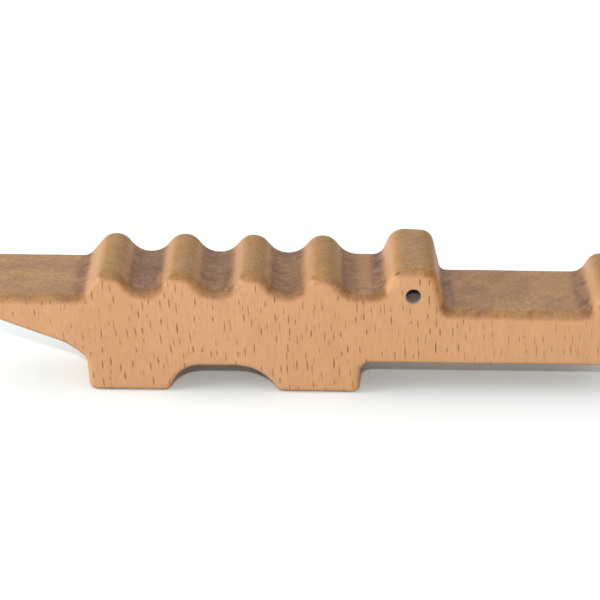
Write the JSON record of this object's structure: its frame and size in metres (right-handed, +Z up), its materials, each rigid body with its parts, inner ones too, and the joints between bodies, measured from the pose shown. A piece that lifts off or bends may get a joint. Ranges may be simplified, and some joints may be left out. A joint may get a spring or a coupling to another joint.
{
  "type": "wooden crocodile figure",
  "caption": "Solid wooden crocodile block with a wavy humped back, block feet, a belly arch, a long flat snout and a drilled eye hole.",
  "frame": {"origin": "on the floor under the middle of the bounding box", "axes": "+X from the tail tip to the nose, +Y across the thickness, +Z up from the feet"},
  "size_m": [0.225, 0.036, 0.0466],
  "materials": {
    "oiled_beech": "satin"
  },
  "bodies": {
    "root": {"crocodile_body": "oiled_beech"}
  },
  "joints": []
}
